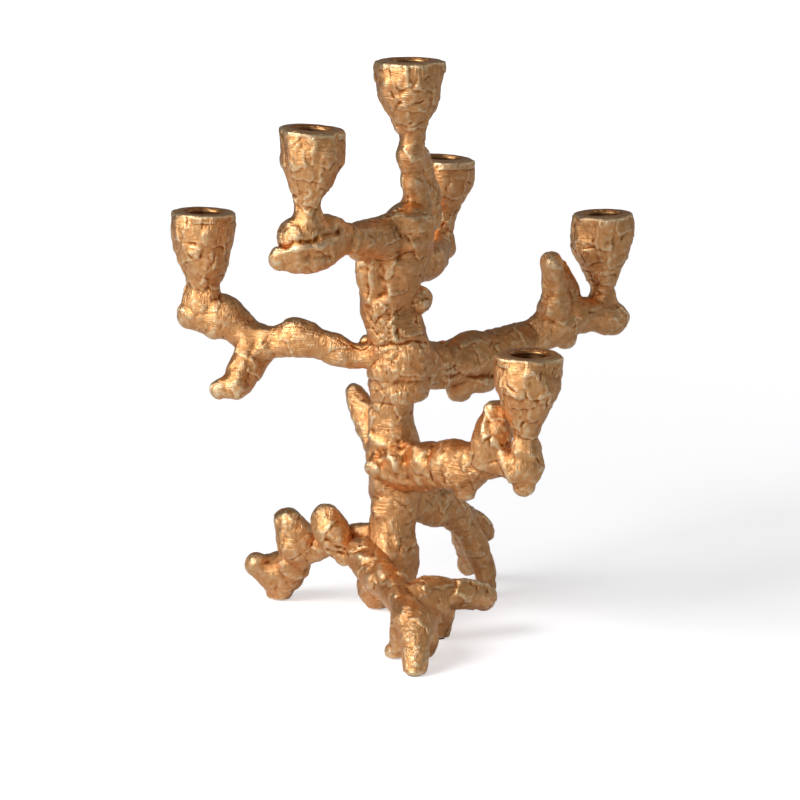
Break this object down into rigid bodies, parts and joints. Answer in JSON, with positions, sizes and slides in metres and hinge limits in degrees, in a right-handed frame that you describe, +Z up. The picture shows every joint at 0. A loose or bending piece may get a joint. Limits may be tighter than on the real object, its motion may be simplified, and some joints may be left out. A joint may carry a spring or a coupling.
{
  "type": "tabletop candelabra",
  "caption": "Free-standing candelabra shaped like a gnarled branch, with goblet-shaped cups for dinner candles on crooked arms and root-like legs, in satin gold.",
  "frame": {"origin": "on the table top, under the middle of the bounding box", "axes": "+Z up, +X to the right and +Y away from the viewer as the object is seen from the front"},
  "size_m": [0.3092, 0.2652, 0.376],
  "materials": {
    "gold_casting": "satin",
    "cup_liner": "satin",
    "plated_steel": "satin",
    "felt": "matte"
  },
  "bodies": {
    "root": {"lower_post": "gold_casting", "left_leg": "gold_casting", "front_leg": "gold_casting", "back_leg": "gold_casting", "collar": "gold_casting", "upper_trunk": "gold_casting", "left_arm": "gold_casting", "upper_left_arm": "gold_casting", "top_stem": "gold_casting", "back_arm": "gold_casting", "right_arm": "gold_casting", "lower_arm": "gold_casting", "left_cup": "gold_casting", "upper_left_cup": "gold_casting", "top_cup": "gold_casting", "back_cup": "gold_casting", "right_cup": "gold_casting", "lower_right_cup": "gold_casting", "left_cup_liner": "cup_liner", "upper_left_cup_liner": "cup_liner", "top_cup_liner": "cup_liner", "back_cup_liner": "cup_liner", "right_cup_liner": "cup_liner", "lower_right_cup_liner": "cup_liner", "arm_studs": "plated_steel", "leg_studs": "plated_steel", "cup_studs": "plated_steel", "tie_rod": "plated_steel", "tie_rod_nut": "plated_steel", "tie_rod_washer": "plated_steel", "felt_pads": "felt"}
  },
  "joints": []
}
